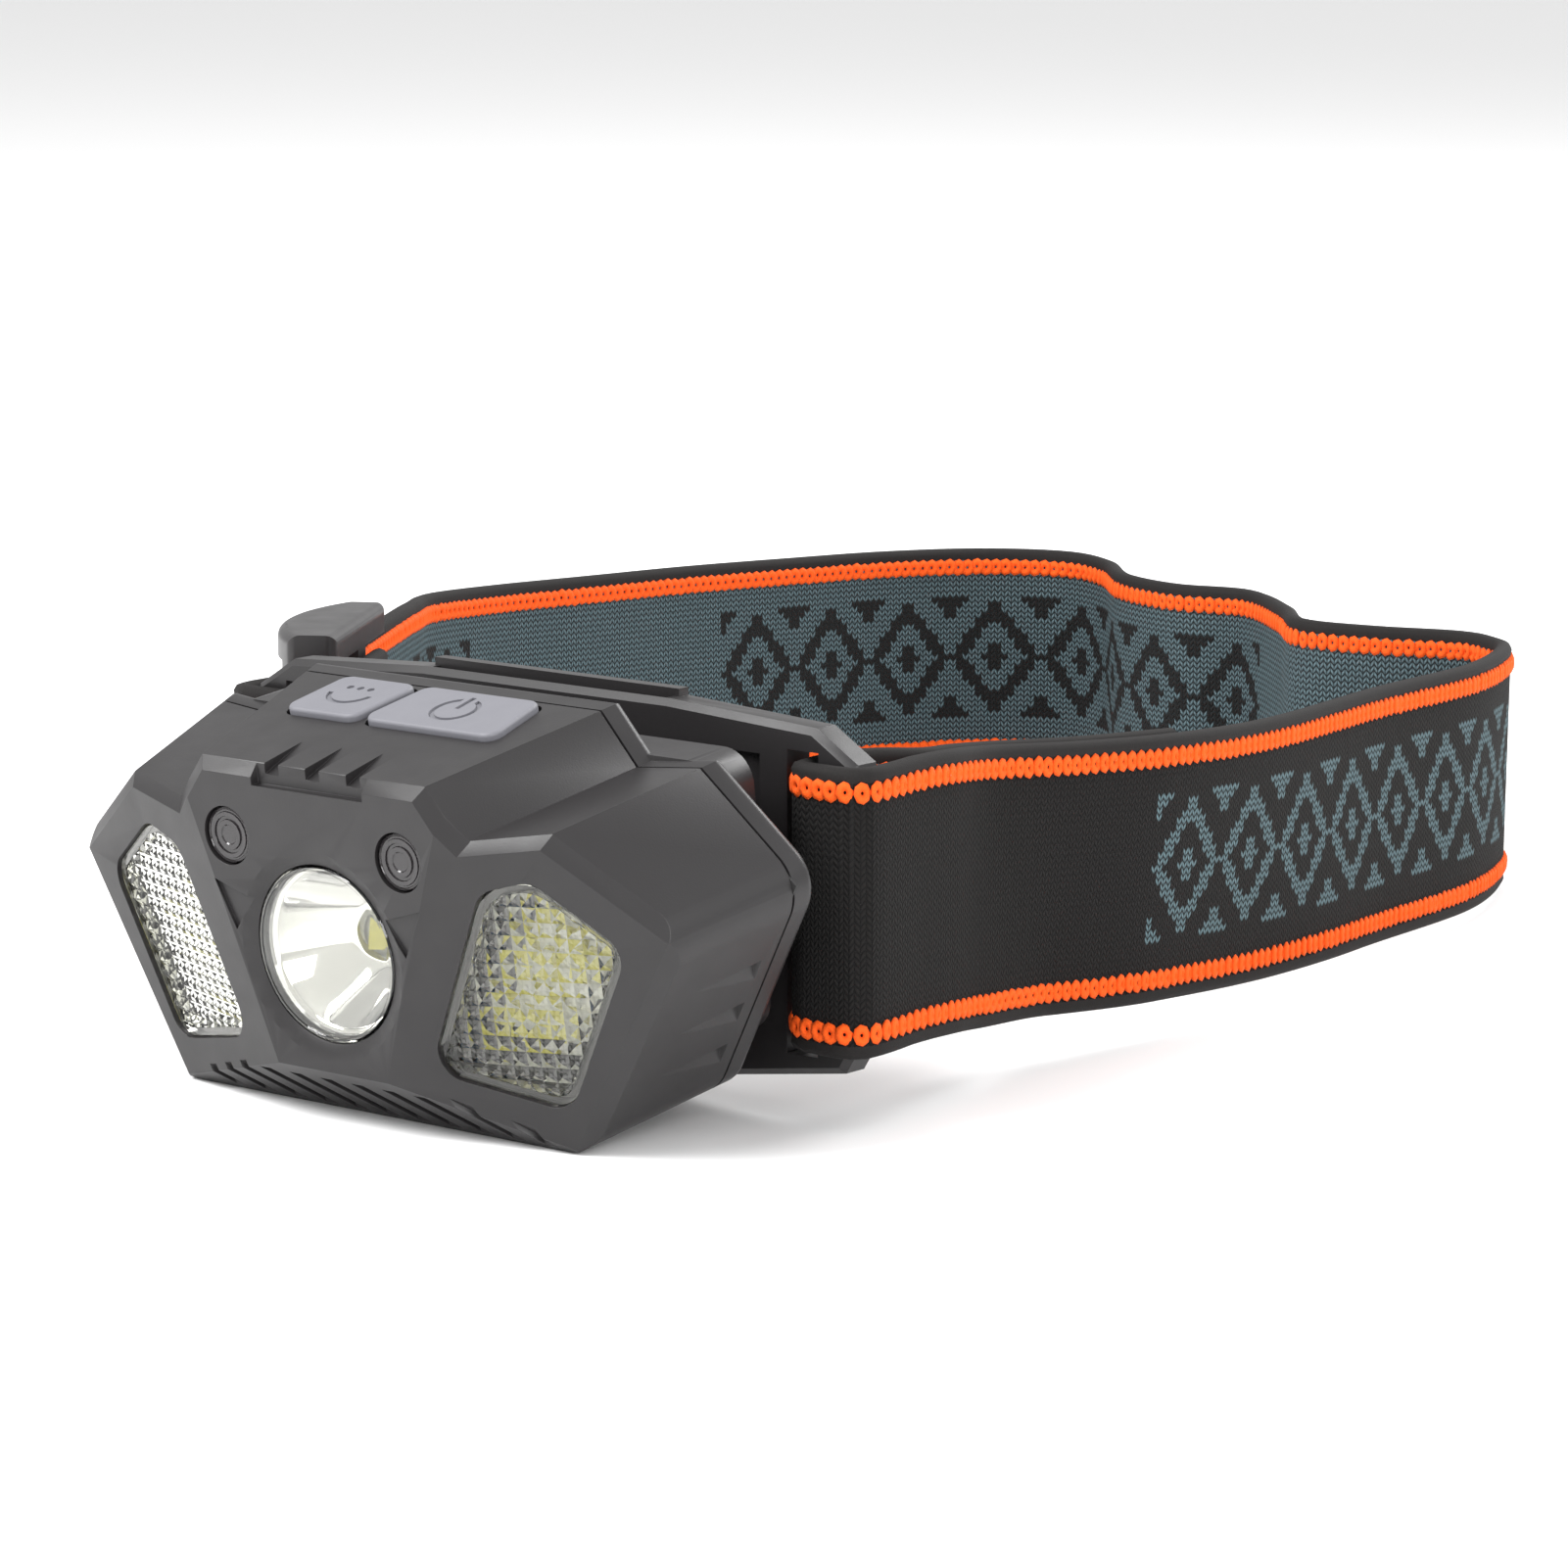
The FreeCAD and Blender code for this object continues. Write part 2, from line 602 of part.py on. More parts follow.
def forehead_pad():
    y0 = plate_front_y + plate_thick
    pad = box(-25.5, 25.5, y0, y0 + pad_thick, 5.0, 32.0)
    pad = pad.makeFillet(4.0, edges_where(pad, lambda e: abs(e.Length - pad_thick) < 1e-4))
    return pad.makeFillet(1.0, edges_where(pad, lambda e: e.BoundBox.YMin > y0 + pad_thick - 0.01))


def band_centre_line():
    """points along the band's lower edge, from the right bar to the left bar"""
    curve = Part.BSplineCurve()
    curve.interpolate([Vector(*p) for p in band_route])
    points = curve.discretize(Number=band_steps)
    start, end = points[-1], Vector(*left_start)
    return points + [start + (end - start) * (i / 8.0) for i in range(1, 9)]


def rounded_route(corners, radius, steps=5):
    """a level polyline with its corners rounded by arcs"""
    route = [corners[0]]
    for before, at, after in zip(corners, corners[1:], corners[2:]):
        to_before, to_after = (before - at).normalize(), (after - at).normalize()
        half = to_before.getAngle(to_after) / 2
        reach = radius / math.tan(half)
        centre = at + (to_before + to_after).normalize() * (radius / math.sin(half))
        first, last = at + to_before * reach - centre, at + to_after * reach - centre
        sweep = first.getAngle(last)
        sense = 1 if first.cross(last).z > 0 else -1
        for i in range(steps + 1):
            route.append(centre + Rotation(Z_AXIS, math.degrees(sense * sweep * i / steps)).multVec(first))
    return route + [corners[-1]]


def side_point(points, i, shift):
    """a point of the route moved sideways, to its left, by shift"""
    before, after = points[max(i - 1, 0)], points[min(i + 1, len(points) - 1)]
    along = Vector(after.x - before.x, after.y - before.y, 0).normalize()
    return points[i] + Vector(-along.y, along.x, 0) * shift


def strap_solid(points, width=band_width, thick=band_thick):
    """a closed strap standing on edge along a route of its lower edge"""
    up = Vector(0, 0, width)
    rails = []
    for shift in (thick / 2, -thick / 2):
        low = [side_point(points, i, shift) for i in range(len(points))]
        rails.append((low, [p + up for p in low]))
    (left, left_up), (right, right_up) = rails
    faces = [facet([left[0], right[0], right_up[0], left_up[0]])]
    faces.append(facet([left[-1], right[-1], right_up[-1], left_up[-1]]))
    for i in range(len(points) - 1):
        faces.append(facet([left[i], left[i + 1], left_up[i + 1], left_up[i]]))
        faces.append(facet([right[i], right[i + 1], right_up[i + 1], right_up[i]]))
        for a, b in ((left, right), (left_up, right_up)):
            faces.append(facet([a[i], b[i], b[i + 1]]))
            faces.append(facet([a[i], b[i + 1], a[i + 1]]))
    return solid_from(faces)


def bar_wrap(side, outer_end, inner_end):
    """the band's turn round an end bar: in through the slot, across the bar's front and out"""
    slot_x = (slot_inner + slot_outer) / 2
    front_y = plate_front_y - band_play - band_thick / 2
    corners = [inner_end, Vector(side * slot_x, plate_front_y + plate_thick + 3.2, band_level)]
    corners += [Vector(side * slot_x, front_y, band_level)]
    corners += [Vector(side * (plate_half + band_play + band_thick / 2), front_y, band_level), outer_end]
    return rounded_route(corners, 1.15)


def band_end_right():
    """the sewn end: round the right bar, then forward along the band's inner face"""
    centre = band_centre_line()
    wrap_end = centre[0]
    tail = []
    run = 0.0
    for i in range(2, len(centre)):
        run += (centre[i] - centre[i - 1]).Length
        tail.append(side_point(centre, i, band_thick + 0.3))
        if run > tail_length:
            break
    route = [Vector(p.x, p.y, p.z) for p in reversed(tail)]
    wrap = bar_wrap(1, wrap_end, route[-1])
    return strap_solid(route[:-1] + wrap)


def band_end_left():
    """the band's turn round the left bar, towards the slider"""
    centre = band_centre_line()
    along = (centre[-1] - centre[-2]).normalize()
    inner = side_point(centre, len(centre) - 1, band_thick + 0.6) - along * 0.6
    return strap_solid(bar_wrap(-1, centre[-1], inner))


def slider_frame():
    """on the band's lower edge: x away from the bar, y to the loop's outside, z up"""
    start, towards = Vector(*left_start), Vector(*band_route[-1])
    along = Vector(towards.x - start.x, towards.y - start.y, 0).normalize()
    turn = math.degrees(math.atan2(along.y, along.x))
    return Placement(start + along * slider_from_bar, Rotation(Z_AXIS, turn))


def strap_slider():
    """a ladder-lock slider: two arched rails, two outer bars and a middle bar"""
    half, gap = slider_half, band_thick / 2 + 0.45
    rail_arc = Part.Arc(Vector(-half, 1.6, 0), Vector(0, 4.6, 0), Vector(half, 1.6, 0)).toShape()
    ends = [Vector(half, 1.6, 0), Vector(half, -2.9, 0), Vector(-half, -2.9, 0), Vector(-half, 1.6, 0)]
    rim = [Part.makeLine(a, b) for a, b in zip(ends, ends[1:])]
    face = Part.Face(Part.Wire(Part.sortEdges([rail_arc] + rim)[0]))
    block = face.extrude(Vector(0, 0, band_width + 1.0 + 2 * slider_rail))
    block = block.makeFillet(1.0, edges_where(block, lambda e: e.Length > 1.5 * half))
    block.translate(Vector(0, 0, -0.5 - slider_rail))
    top = band_width + 0.5
    tools = [box(-half - 1, half + 1, -gap, gap, -0.5, top)]
    for a, b in ((-half - 1, -half + 2.2), (half - 2.2, half + 1)):
        tools.append(box(a, b, -5, gap, -0.5, top))
    tools.append(box(-half + 2.2, -1.6, -5, 6, -0.5, top))
    tools.append(box(1.6, half - 2.2, -5, 6, -0.5, top))
    tools.append(box(-1.7, 1.7, gap - 0.1, 6, -0.5, top))
    slider = block.cut(tools)
    slider.Placement = slider_frame()
    return slider


def slider_loop():
    """the band's other end, sewn round the slider's middle bar"""
    inside = -2.9 - 0.2 - band_thick / 2
    loop = strap_solid([Vector(-10.4, inside, 0), Vector(2.9, inside, 0)])
    loop.Placement = slider_frame()
    return loop


def lamp_parts():
    """every piece of the tilting lamp, in the lamp frame"""
    parts = {
        "front_shell": front_shell(),
        "rear_cover": rear_cover(),
        "housing_seal": housing_seal(),
        "cover_screws": cover_screws(),
        "spot_lens": spot_lens(),
        "spot_reflector": reflector(),
        "spot_led_board": spot_board(),
        "spot_led": spot_led(),
        "circuit_board": circuit_board(),
        "power_switch": tact_switch("power"),
        "sensor_switch": tact_switch("sensor"),
        "power_button": button("power"),
        "sensor_button": button("sensor"),
        "battery_cell": battery_cell(),
        "charge_port": charge_port(),
        "port_flap": port_flap(),
    }
    for name, side in (("left", -1), ("right", 1)):
        parts["flood_lens_" + name] = flood_lens(side)
        parts["flood_board_" + name] = flood_board(side)
        parts["flood_leds_" + name] = flood_leds(side)
        parts["sensor_window_" + name] = sensor_window(side)
    parts["ir_emitter"] = sensor_diode(-1)
    parts["ir_receiver"] = sensor_diode(1)
    return parts


def lamp_seat():
    return Placement(Vector(0, seat_y, seat_z), Rotation(X_AXIS, rest_tilt))


def hinge_centre():
    return lamp_seat().multVec(Vector(0, hinge_y, hinge_z))


def build():
    shapes = {}
    for name, shape in lamp_parts().items():
        shape.Placement = lamp_seat().multiply(shape.Placement)
        shapes[name] = shape
    shapes["bracket_plate"] = bracket_plate()
    shapes["tilt_pin"] = tilt_pin()
    shapes["forehead_pad"] = forehead_pad()
    shapes["headband"] = strap_solid(band_centre_line())
    shapes["band_end_right"] = band_end_right()
    shapes["band_end_left"] = band_end_left()
    shapes["strap_slider"] = strap_slider()
    shapes["slider_loop"] = slider_loop()
    whole = Part.makeCompound(list(shapes.values())).BoundBox
    shift = Vector(-whole.Center.x, -whole.Center.y, -whole.ZMin)
    os.makedirs("parts", exist_ok=True)
    for name, shape in shapes.items():
        shape.translate(shift)
        print(name, "valid" if shape.isValid() else "INVALID", "volume %.1f" % shape.Volume, "solids", len(shape.Solids))
        shape.exportStep("parts/%s.step" % name)
    centre = hinge_centre() + shift
    print("origin shift", shift, "tilt hinge", centre)


build()
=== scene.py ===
# Rechargeable headlamp on a knitted elastic band: looks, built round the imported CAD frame.
import math

import bpy
import bmesh
import json
from mathutils import Matrix, Vector, noise


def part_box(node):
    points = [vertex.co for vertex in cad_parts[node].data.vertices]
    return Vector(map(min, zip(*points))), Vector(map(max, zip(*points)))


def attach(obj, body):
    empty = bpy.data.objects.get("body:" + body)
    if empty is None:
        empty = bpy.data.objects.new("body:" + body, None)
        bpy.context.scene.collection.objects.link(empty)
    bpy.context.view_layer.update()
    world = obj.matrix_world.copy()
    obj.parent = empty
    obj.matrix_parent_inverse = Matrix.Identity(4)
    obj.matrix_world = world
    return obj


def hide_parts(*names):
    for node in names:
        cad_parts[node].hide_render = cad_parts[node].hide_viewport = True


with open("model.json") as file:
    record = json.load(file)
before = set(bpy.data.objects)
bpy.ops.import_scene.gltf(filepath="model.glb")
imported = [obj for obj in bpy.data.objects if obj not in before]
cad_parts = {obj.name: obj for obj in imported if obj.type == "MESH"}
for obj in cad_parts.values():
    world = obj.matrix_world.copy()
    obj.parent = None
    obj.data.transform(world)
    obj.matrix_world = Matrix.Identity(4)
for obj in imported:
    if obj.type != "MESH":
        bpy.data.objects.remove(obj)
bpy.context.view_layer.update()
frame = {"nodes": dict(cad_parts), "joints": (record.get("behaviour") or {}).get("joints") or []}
nodes = frame["nodes"]
print("frame loaded:", len(nodes), "nodes")

mm = 0.001

# Places of the lamp and of the band, both drawn in millimetres and seated on the tilt hinge
lamp = dict(tilt=6.5, hingeY=23.8, hingeZ=3.1, seatY=-0.15, seatZ=-1.47, spotZ=16.5, rise=0.1495)
hinge = Vector(next(joint for joint in frame["joints"] if joint["name"] == "lamp_tilt")["pos_m"])
tilt = Matrix.Rotation(math.radians(lamp["tilt"]), 4, "X")
hingeInLamp = Vector((0, lamp["hingeY"], lamp["hingeZ"]))
lampSeat = Matrix.Translation(hinge) @ Matrix.Scale(mm, 4) @ tilt @ Matrix.Translation(-hingeInLamp)
hingeInWorld = tilt @ hingeInLamp + Vector((0, lamp["seatY"], lamp["seatZ"]))
bandSeat = Matrix.Translation(hinge) @ Matrix.Scale(mm, 4) @ Matrix.Translation(-hingeInWorld)


def linear(hexColour):
    parts = [int(hexColour[i:i + 2], 16) / 255 for i in (1, 3, 5)]
    return tuple(c / 12.92 if c <= 0.04045 else ((c + 0.055) / 1.055) ** 2.4 for c in parts) + (1.0,)


def addNode(tree, kind, values=None, **options):
    node = tree.nodes.new("ShaderNode" + kind)
    for name, value in options.items():
        setattr(node, name, value)
    for name, value in (values or {}).items():
        if isinstance(value, bpy.types.NodeSocket):
            tree.links.new(value, node.inputs[name])
        else:
            node.inputs[name].default_value = value
    return node


def calc(tree, operation, a, b=0.0, c=0.0, clamp=False):
    return addNode(tree, "Math", {0: a, 1: b, 2: c}, operation=operation, use_clamp=clamp).outputs[0]


def newMaterial(name, hexColour, **sockets):
    material = bpy.data.materials.new(name)
    material.use_nodes = True
    tree = material.node_tree
    shader = tree.nodes["Principled BSDF"]
    shader.inputs["Base Color"].default_value = linear(hexColour)
    material.diffuse_color = linear(hexColour)
    for key, value in sockets.items():
        shader.inputs[key.replace("_", " ")].default_value = value
    return material, tree, shader


def grained(name, hexColour, darker, grain, depth, mottle=3.0, **sockets):
    # a moulded surface: fine grain as bump, faint blotches in colour and roughness
    material, tree, shader = newMaterial(name, hexColour, **sockets)
    place = addNode(tree, "TexCoord").outputs["Object"]
    blotch = addNode(tree, "TexNoise", {"Vector": place, "Scale": 1 / (mottle * mm), "Detail": 3.0})
    tone = addNode(tree, "Mix", {0: blotch.outputs["Fac"], 6: linear(hexColour), 7: linear(darker)},
                   data_type="RGBA")
    tree.links.new(tone.outputs[2], shader.inputs["Base Color"])
    fine = addNode(tree, "TexNoise", {"Vector": place, "Scale": 1 / (grain * mm), "Detail": 2.0})
    bump = addNode(tree, "Bump", {"Height": fine.outputs["Fac"], "Distance": depth * mm, "Strength": 0.6})
    tree.links.new(bump.outputs["Normal"], shader.inputs["Normal"])
    base = shader.inputs["Roughness"].default_value
    rough = addNode(tree, "MapRange",
                    {"Value": blotch.outputs["Fac"], "To Min": base - 0.06, "To Max": base + 0.06})
    tree.links.new(rough.outputs["Result"], shader.inputs["Roughness"])
    return material


def finishPiece(name, bm, seat, materials, body, stands=(), smooth=30, bevel=None):
    bmesh.ops.transform(bm, matrix=seat, verts=bm.verts)
    mesh = bpy.data.meshes.new(name)
    bm.to_mesh(mesh)
    bm.free()
    piece = bpy.data.objects.new(name, mesh)
    bpy.context.scene.collection.objects.link(piece)
    for material in materials:
        mesh.materials.append(material)
    for polygon in mesh.polygons:
        polygon.use_smooth = True
    mesh.set_sharp_from_angle(angle=math.radians(smooth))
    if bevel:
        edge = piece.modifiers.new("edges", "BEVEL")
        edge.width = bevel * mm
        edge.segments = 2
        edge.limit_method = "ANGLE"
        edge.angle_limit = math.radians(smooth)
        edge.use_clamp_overlap = True
    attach(piece, body)
    if stands:
        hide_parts(*stands)
    return piece


def softenedCopy(node, body, material, width, angle=24):
    # the CAD shape with its loose triangles merged and its sharp edges eased
    bm = bmesh.new()
    bm.from_mesh(nodes[node].data)
    bmesh.ops.remove_doubles(bm, verts=bm.verts, dist=0.004 * mm)
    bmesh.ops.dissolve_limit(bm, angle_limit=math.radians(1.2), verts=bm.verts, edges=bm.edges)
    piece = finishPiece(node + "_moulded", bm, Matrix(), [material], body, (node,),
                        smooth=angle, bevel=width)
    return piece


# camera, light and floor
view = dict(azimuth=39.3065, elevation=9.9898, lens=134.953, place=(0.356082, -0.441010, 0.115087))


def placeCamera():
    camera = bpy.data.objects.new("camera", bpy.data.cameras.new("camera"))
    camera.data.lens = view["lens"]
    camera.data.sensor_width = 36
    camera.location = view["place"]
    camera.rotation_euler = (math.radians(90 - view["elevation"]), 0, math.radians(view["azimuth"]))
    camera.data.clip_start = 0.01
    bpy.context.scene.collection.objects.link(camera)
    bpy.context.scene.camera = camera


def softBox(name, place, target, size, watts):
    light = bpy.data.objects.new(name, bpy.data.lights.new(name, "AREA"))
    light.data.shape = "RECTANGLE"
    light.data.size, light.data.size_y = size
    light.data.energy = watts
    light.location = place
    light.rotation_euler = (Vector(target) - Vector(place)).to_track_quat("-Z", "Y").to_euler()
    bpy.context.scene.collection.objects.link(light)


def placeStage():
    bm = bmesh.new()
    bmesh.ops.create_grid(bm, x_segments=1, y_segments=1, size=3.0)
    mesh = bpy.data.meshes.new("floor")
    bm.to_mesh(mesh)
    bm.free()
    floor = bpy.data.objects.new("floor", mesh)
    bpy.context.scene.collection.objects.link(floor)
    material = newMaterial("white_paper_floor", "#F4F4F4", Roughness=0.9)[0]
    mesh.materials.append(material)
    world = bpy.data.worlds.new("studio")
    bpy.context.scene.world = world
    world.use_nodes = True
    world.node_tree.nodes["Background"].inputs["Color"].default_value = (1, 1, 1, 1)
    world.node_tree.nodes["Background"].inputs["Strength"].default_value = 0.85
    softBox("key", (-0.35, -0.55, 0.75), (0, 0, 0.02), (0.5, 0.5), 11)
    softBox("fill", (0.75, -0.35, 0.35), (0, 0, 0.02), (0.5, 0.4), 4)
    softBox("back", (0.2, 0.7, 0.6), (0, 0, 0.02), (0.7, 0.3), 6)


placeCamera()
placeStage()
bpy.context.scene.view_settings.view_transform = "Standard"
print("camera, light and floor placed")

# plastics, metals and optics
# each grained finish: colour, darker blotch, grain size and grain depth in millimetres
# spark-eroded mould grain: a matt, even black
blackAbs = grained("moulded_black_abs", "#211F20", "#1B191A", 0.16, 0.012, Roughness=0.42)
# a slightly waxy dark grey
darkAcetal = grained("moulded_grey_acetal", "#262425", "#201E1F", 0.3, 0.01, Roughness=0.38)
# moulded rubber: soft, even sheen
greySilicone = grained("grey_silicone", "#737379", "#6C6C72", 0.2, 0.01, Roughness=0.55)
blackSilicone = grained("black_silicone", "#1E1D1D", "#191818", 0.2, 0.01, Roughness=0.6)
# closed cells, dull and pebbly
foam = grained("eva_foam", "#1E1D1E", "#161516", 0.45, 0.12, Roughness=0.85)
# polished clear moulding, faintly warm
clearPc = newMaterial("clear_polycarbonate", "#FBFBF4", Roughness=0.03, IOR=1.585,
                      Transmission_Weight=1.0)[0]
# dark tint that lets some light through
smokedPc = newMaterial("smoked_polycarbonate", "#3A3638", Roughness=0.06, IOR=1.585,
                       Transmission_Weight=0.55)[0]
# aluminium coat on a polished bowl: a near-perfect mirror
mirror = newMaterial("vacuum_metallised", "#E6E6E8", Metallic=1.0, Roughness=0.07)[0]
# dull bright plating
zinc = grained("zinc_plated_steel", "#A9A9AB", "#99999B", 0.3, 0.004, Metallic=1.0, Roughness=0.35)
boardWhite = grained("white_solder_mask", "#E4E5E1", "#D9DAD6", 0.3, 0.005, Roughness=0.4)
boardGreen = grained("green_solder_mask", "#1F5A35", "#1A4C2D", 0.3, 0.005, Roughness=0.35)
phosphor = grained("yellow_phosphor", "#DCD66A", "#CFC858", 0.2, 0.01, Roughness=0.5)
cellFilm = grained("blue_shrink_film", "#3E6A9C", "#376090", 0.5, 0.01, Roughness=0.3)
diodeResin = grained("tinted_epoxy", "#4A4048", "#423840", 0.3, 0.005, Roughness=0.12)

finishes = dict(
    housing_seal=blackSilicone, cover_screws=zinc, spot_led_board=boardWhite, spot_led=phosphor,
    circuit_board=boardGreen, power_switch=zinc, sensor_switch=zinc, battery_cell=cellFilm,
    charge_port=zinc, port_flap=blackSilicone, flood_board_left=boardWhite,
    flood_board_right=boardWhite, flood_leds_left=phosphor, flood_leds_right=phosphor,
    ir_emitter=diodeResin, ir_receiver=diodeResin,
    tilt_pin=zinc, power_button=greySilicone, sensor_button=greySilicone)
for node, material in finishes.items():
    nodes[node].data.materials.clear()
    nodes[node].data.materials.append(material)

softenedCopy("front_shell", "lamp", blackAbs, 0.16)
softenedCopy("rear_cover", "lamp", blackAbs, 0.2)
softenedCopy("bracket_plate", "bracket", blackAbs, 0.25)
softenedCopy("strap_slider", "slider", darkAcetal, 0.35)
print("housing and bracket finished")

# lenses, reflector and sensor windows
floodLens = dict(outline=[(17.5, 23.8), (22.2, 25.0), (29.7, 19.3), (22.7, 4.8), (10.6, 7.6)],
                 sweep=0.2718, lean=0.095, start=-1.13, depth=0.45, thick=1.2, corner=1.8, rim=0.7,
                 pitch=1.3, height=0.4, cells=22)
spot = dict(lensRadius=7.75, lensFront=0.45, lensBack=1.75, bowlFront=2.4, bowlDepth=5.4,
            mouth=6.7, throat=2.7)
sensor = dict(x=9.9, z=25.9, radius=2.5, front=0.25, back=1.8)


def wingSeat(centre):
    # local x across the wing, y up it, z out of it
    outward = Vector((floodLens["sweep"], -1, -floodLens["lean"])).normalized()
    across = Vector((1, floodLens["sweep"], 0)).normalized()
    turn = Matrix((across, outward.cross(across), outward)).transposed().to_4x4()
    return Matrix.Translation(centre - outward * floodLens["depth"]) @ turn


def roundedOutline(bm, corners, radius, segments=6):
    face = bm.faces.new([bm.verts.new((x, y, 0)) for x, y in corners])
    bmesh.ops.bevel(bm, geom=face.verts[:], offset=radius, offset_type="OFFSET", segments=segments,
                    profile=0.5, affect="VERTICES", material=-1, clamp_overlap=True)
    bmesh.ops.recalc_face_normals(bm, faces=bm.faces)
    if bm.faces[0].normal.z < 0:
        bmesh.ops.reverse_faces(bm, faces=bm.faces)
    return bm.faces[0]


def prismLens(side):
    # a field of small pyramids inside a flat polished rim
    onWing = [Vector((x, floodLens["start"] + floodLens["sweep"] * x - floodLens["lean"] * z, z))
              for x, z in floodLens["outline"]]
    centre = sum(onWing, Vector()) / len(onWing)
    seat = wingSeat(centre)
    flat = Matrix.Translation(centre) @ seat.to_3x3().to_4x4()
    corners = [(flat.inverted() @ point).to_2d() for point in onWing]
    rimMesh = bmesh.new()
    face = roundedOutline(rimMesh, corners, floodLens["corner"])
    bmesh.ops.inset_individual(rimMesh, faces=[face], thickness=floodLens["rim"], use_even_offset=True)
    inner = [vert.co.copy() for vert in face.verts]
    bmesh.ops.delete(rimMesh, geom=[face], context="FACES_ONLY")
    raised = bmesh.ops.extrude_face_region(rimMesh, geom=rimMesh.faces[:])
    low = [item for item in raised["geom"] if isinstance(item, bmesh.types.BMVert)]
    bmesh.ops.translate(rimMesh, vec=(0, 0, -floodLens["thick"]), verts=low)
    bmesh.ops.recalc_face_normals(rimMesh, faces=rimMesh.faces)
    rim = bpy.data.meshes.new("lens_rim")
    rimMesh.to_mesh(rim)
    rimMesh.free()

    bm = bmesh.new()
    cells = floodLens["cells"]
    bmesh.ops.create_grid(bm, x_segments=cells, y_segments=cells, size=cells * floodLens["pitch"] / 2)
    bmesh.ops.poke(bm, faces=bm.faces[:], offset=floodLens["height"])
    bmesh.ops.translate(bm, vec=(0, 0, -0.25), verts=bm.verts)
    middle = sum(inner, Vector()) / len(inner)
    for a, b in zip(inner, inner[1:] + inner[:1]):
        along = (b - a).normalized()
        away = Vector((along.y, -along.x, 0))
        if away.dot(a - middle) < 0:
            away.negate()
        bmesh.ops.bisect_plane(bm, geom=bm.verts[:] + bm.edges[:] + bm.faces[:], dist=1e-4,
                               plane_co=a + away * 0.02, plane_no=away, clear_outer=True)
    edges = [edge for edge in bm.edges if edge.is_boundary]
    skirt = bmesh.ops.extrude_edge_only(bm, edges=edges)
    for item in skirt["geom"]:
        if isinstance(item, bmesh.types.BMVert):
            item.co.z = -floodLens["thick"] + 0.1
    bmesh.ops.holes_fill(bm, edges=[edge for edge in bm.edges if edge.is_boundary], sides=0)
    bmesh.ops.recalc_face_normals(bm, faces=bm.faces)
    bm.from_mesh(rim)
    bmesh.ops.transform(bm, matrix=seat, verts=bm.verts)
    if side < 0:
        bmesh.ops.scale(bm, vec=(-1, 1, 1), verts=bm.verts)
        bmesh.ops.reverse_faces(bm, faces=bm.faces)
    name = "flood_lens_right" if side > 0 else "flood_lens_left"
    piece = finishPiece(name + "_prisms", bm, lampSeat, [clearPc], "lamp", (name,), smooth=12)


def spun(profileLine, centre, steps=64):
    # a (radius, depth) line turned round the optical axis
    bm = bmesh.new()
    verts = [bm.verts.new((centre.x + r, y, centre.z)) for r, y in profileLine]
    for a, b in zip(verts, verts[1:]):
        bm.edges.new((a, b))
    bmesh.ops.spin(bm, geom=bm.verts[:] + bm.edges[:], axis=(0, 1, 0), cent=centre, angle=math.tau,
                   steps=steps, use_merge=True)
    bmesh.ops.remove_doubles(bm, verts=bm.verts, dist=1e-4)
    bmesh.ops.recalc_face_normals(bm, faces=bm.faces)
    return bm


def spotOptics():
    centre = Vector((0, 0, lamp["spotZ"]))
    front, back, r = spot["lensFront"], spot["lensBack"], spot["lensRadius"]
    dome = [(0, front - 0.12), (2.5, front - 0.1), (5, front - 0.04), (7.0, front + 0.06),
            (7.3, front + 0.1), (7.4, front + 0.02), (7.6, front + 0.05), (r, front + 0.25), (r, back),
            (0, back)]
    bm = spun(dome, centre)
    lens = finishPiece("spot_lens_disc", bm, lampSeat, [clearPc], "lamp", ("spot_lens",), smooth=35)
    y0, depth, mouth, throat = spot["bowlFront"], spot["bowlDepth"], spot["mouth"], spot["throat"]
    bowl = [(7.75, y0 - 0.5), (7.2, y0 - 0.5), (7.1, y0 - 0.1), (mouth + 0.1, y0)]
    for i in range(17):
        radius = mouth - (mouth - throat) * i / 16
        share = (mouth ** 2 - radius ** 2) / (mouth ** 2 - throat ** 2)
        bowl.append((radius, y0 + 0.15 + (depth - 0.75) * share))
    bowl += [(throat - 0.25, y0 + depth - 0.55), (throat - 0.3, y0 + depth - 0.1),
             (throat + 0.2, y0 + depth)]
    bowl += [(5.0, y0 + depth * 0.72), (7.3, y0 + 0.8), (7.75, y0 + 0.7), (7.75, y0 - 0.5)]
    bm = spun(bowl, centre, steps=72)
    cup = finishPiece("reflector_bowl", bm, lampSeat, [mirror], "lamp", ("spot_reflector",), smooth=40)


def sensorWindow(side):
    f, r = sensor["front"], sensor["radius"]
    face = [(0, f + 0.1), (0.8, f + 0.1), (0.9, f), (1.3, f), (1.36, f + 0.14), (1.6, f + 0.14),
            (1.66, f), (2.0, f - 0.02), (2.06, f + 0.08), (2.2, f + 0.08), (2.26, f - 0.02),
            (r - 0.06, f + 0.05), (r, f + 0.2), (r, sensor["back"]), (0, sensor["back"])]
    bm = spun(face, Vector((side * sensor["x"], 0, sensor["z"])), steps=40)
    name = "sensor_window_right" if side > 0 else "sensor_window_left"
    piece = finishPiece(name + "_glass", bm, lampSeat, [smokedPc], "lamp", (name,), smooth=25)


for side in (-1, 1):
    prismLens(side)
    sensorWindow(side)
spotOptics()
print("optics made")

# forehead pad
padShape = dict(corner=5.0, edge=1.2, border=1.5, channel=1.2, sink=0.6)


